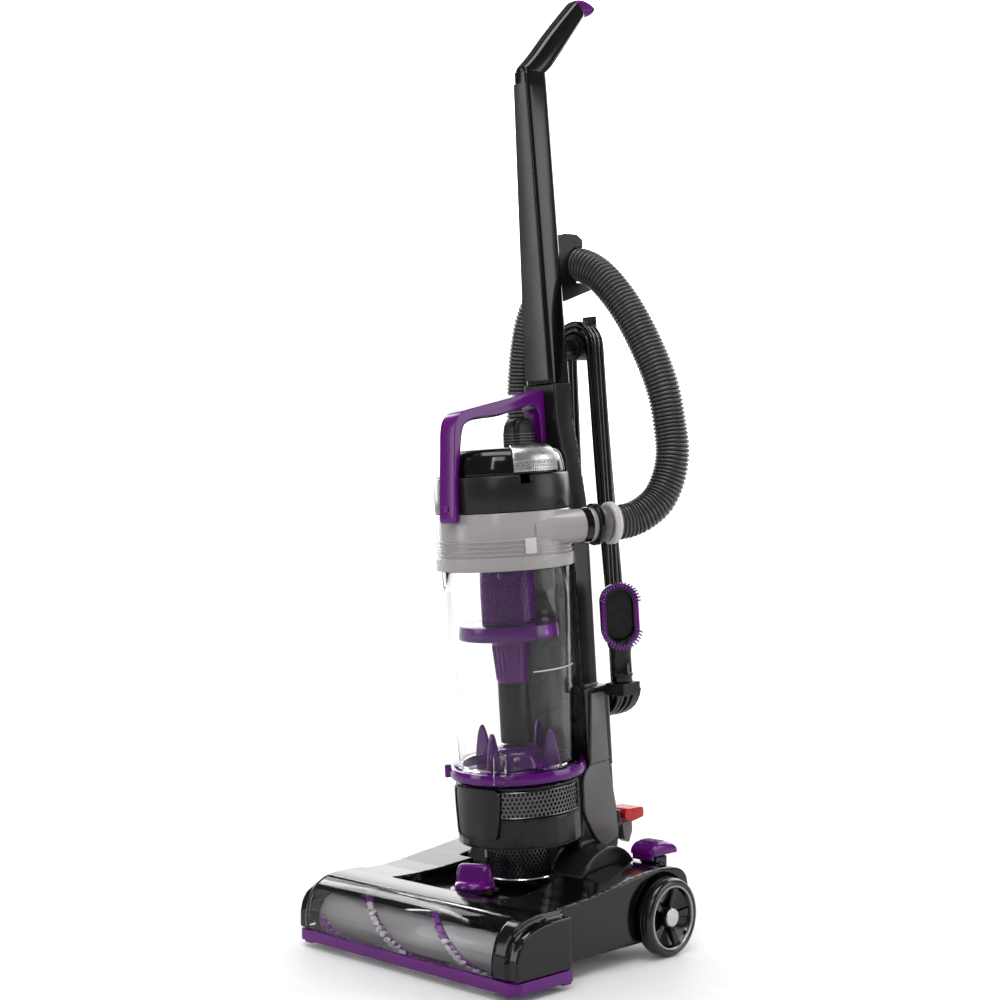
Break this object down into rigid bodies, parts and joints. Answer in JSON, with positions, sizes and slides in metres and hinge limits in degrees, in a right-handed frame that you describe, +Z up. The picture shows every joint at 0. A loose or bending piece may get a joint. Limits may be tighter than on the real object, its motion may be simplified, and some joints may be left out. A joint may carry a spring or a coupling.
{
  "type": "upright vacuum cleaner",
  "caption": "Bagless upright vacuum cleaner with a clear dirt cup, wound power cord, stretch hose and a wide brushed floor nozzle, parked upright.",
  "frame": {"origin": "middle of the cleaner's footprint on the floor, measured without the hose and the cord", "axes": "+Z up, -Y out of the front of the floor nozzle, +X towards the side with the pedals"},
  "size_m": [0.345, 0.3587, 1.1057],
  "materials": {
    "gloss_black": "gloss",
    "satin_grey": "satin",
    "matt_black": "matt",
    "light_grey": "satin",
    "purple": "gloss",
    "purple_clear": "gloss, translucent",
    "red": "satin",
    "clear": "clear, gloss",
    "smoke": "translucent, satin",
    "steel": "brushed",
    "silver_plastic": "bright silver finish",
    "tyre_rubber": "satin",
    "cord_rubber": "gloss",
    "hose_rubber": "satin",
    "belt_rubber": "matt",
    "bristle": "fibrous",
    "foam": "open foam"
  },
  "bodies": {
    "foot": {"nozzle_cover": "gloss_black", "chassis": "matt_black", "base_strip": "purple", "brush_window": "clear", "brush_bearing_left": "matt_black", "brush_bearing_right": "matt_black", "drive_belt": "belt_rubber", "wheel_axle_left": "steel", "wheel_axle_right": "steel"},
    "brush": {"brush_roll": "light_grey", "bristle_strip_a": "bristle", "bristle_strip_b": "bristle"},
    "wheel_left": {"tyre_left": "tyre_rubber", "wheel_rim_left": "silver_plastic"},
    "wheel_right": {"tyre_right": "tyre_rubber", "wheel_rim_right": "silver_plastic"},
    "carriage": {"height_carriage": "matt_black"},
    "roller_left": {"front_roller_left": "matt_black"},
    "roller_right": {"front_roller_right": "matt_black"},
    "knob": {"height_knob": "purple"},
    "release": {"release_pedal": "purple"},
    "body": {"motor_housing": "satin_grey", "exhaust_grille": "matt_black", "neck_grille": "matt_black", "badge_plate": "gloss_black", "exhaust_filter": "foam", "side_panel_left": "light_grey", "side_panel_right": "light_grey", "motor_stator": "steel", "spine": "satin_grey", "handle_tube": "gloss_black", "handle_strip": "light_grey", "handle_grip": "gloss_black", "grip_cap": "purple", "hose_hook": "matt_black", "lower_cord_hook": "matt_black", "cord_hank": "cord_rubber", "power_cord": "cord_rubber", "strain_relief": "cord_rubber", "plug": "cord_rubber", "hose": "hose_rubber", "hose_port": "gloss_black", "hose_cuff": "light_grey", "tool_holder": "matt_black"},
    "rotor": {"motor_rotor": "steel"},
    "power": {"power_pedal": "red"},
    "cord_hook": {"upper_cord_hook": "matt_black"},
    "tool": {"dusting_brush": "gloss_black"},
    "tank": {"dirt_cup": "clear", "cup_door": "purple_clear", "inlet_collar": "smoke", "lid_ring": "gloss_black", "lid_cap": "gloss_black", "carry_handle": "purple", "cyclone_screen": "purple_clear", "cyclone_cone": "purple_clear", "outlet_tube": "matt_black", "cup_filter": "foam"},
    "button": {"release_button": "matt_black"},
    "latch": {"door_latch": "clear"}
  },
  "joints": [
    {"name": "recline", "type": "hinge", "parent": "foot", "child": "body", "pos_m": [0, 0.0577, 0.062], "axis": [-1, 0, 0], "range_deg": [0, 55]},
    {"name": "wheel_left_spin", "type": "hinge", "parent": "foot", "child": "wheel_left", "pos_m": [-0.1565, 0.0777, 0.0427], "axis": [1, 0, 0], "continuous": true},
    {"name": "wheel_right_spin", "type": "hinge", "parent": "foot", "child": "wheel_right", "pos_m": [0.1565, 0.0777, 0.0427], "axis": [1, 0, 0], "continuous": true},
    {"name": "knob_turn", "type": "hinge", "parent": "foot", "child": "knob", "pos_m": [0, -0.0663, 0.08], "axis": [0, 0, 1], "range_deg": [0, 150]},
    {"name": "carriage_slide", "type": "slide", "parent": "foot", "child": "carriage", "axis": [0, 0, -1], "range_m": [0, 0.008]},
    {"name": "roller_left_spin", "type": "hinge", "parent": "carriage", "child": "roller_left", "pos_m": [-0.052, -0.0713, 0.011], "axis": [1, 0, 0], "continuous": true},
    {"name": "roller_right_spin", "type": "hinge", "parent": "carriage", "child": "roller_right", "pos_m": [0.052, -0.0713, 0.011], "axis": [1, 0, 0], "continuous": true},
    {"name": "motor_spin", "type": "hinge", "parent": "body", "child": "rotor", "pos_m": [0, 0.0577, 0.062], "axis": [1, 0, 0], "continuous": true},
    {"name": "brush_spin", "type": "hinge", "parent": "foot", "child": "brush", "pos_m": [0, -0.1403, 0.032], "axis": [1, 0, 0], "continuous": true},
    {"name": "release_pedal_press", "type": "hinge", "parent": "foot", "child": "release", "pos_m": [0.1105, 0.0917, 0.1], "axis": [-1, 0, 0], "range_deg": [0, 8], "stiffness_Nm_per_rad": 1.5, "springref_deg": -5.73},
    {"name": "power_pedal_press", "type": "hinge", "parent": "body", "child": "power", "pos_m": [0.051, 0.1143, 0.1375], "axis": [-1, 0, 0], "range_deg": [0, 8], "stiffness_Nm_per_rad": 1.5, "springref_deg": -5.73},
    {"name": "tank_slide", "type": "slide", "parent": "body", "child": "tank", "axis": [0, -0.9965, -0.0837], "range_m": [0, 0.15]},
    {"name": "release_button_press", "type": "slide", "parent": "tank", "child": "button", "axis": [0, 0.0837, -0.9965], "range_m": [0, 0.004], "stiffness_N_per_m": 400, "springref_m": -0.002},
    {"name": "door_latch_swing", "type": "hinge", "parent": "tank", "child": "latch", "pos_m": [0.04035, -0.0666, 0.1896], "axis": [0.866, 0.4982, 0.0418], "range_deg": [0, 25], "stiffness_Nm_per_rad": 0.3, "springref_deg": -5.73},
    {"name": "cord_hook_turn", "type": "hinge", "parent": "body", "child": "cord_hook", "pos_m": [0, 0.1002, 0.6883], "axis": [0, 0.9965, 0.0837], "range_deg": [0, 180]},
    {"name": "tool_pull", "type": "slide", "parent": "body", "child": "tool", "axis": [0, -0.0837, 0.9965], "range_m": [0, 0.03]}
  ],
  "couplings": [
    {"joint": "brush_spin", "follows": "motor_spin", "ratio": 0.5},
    {"joint": "carriage_slide", "follows": "knob_turn", "m_per_rad": 0.003055}
  ]
}
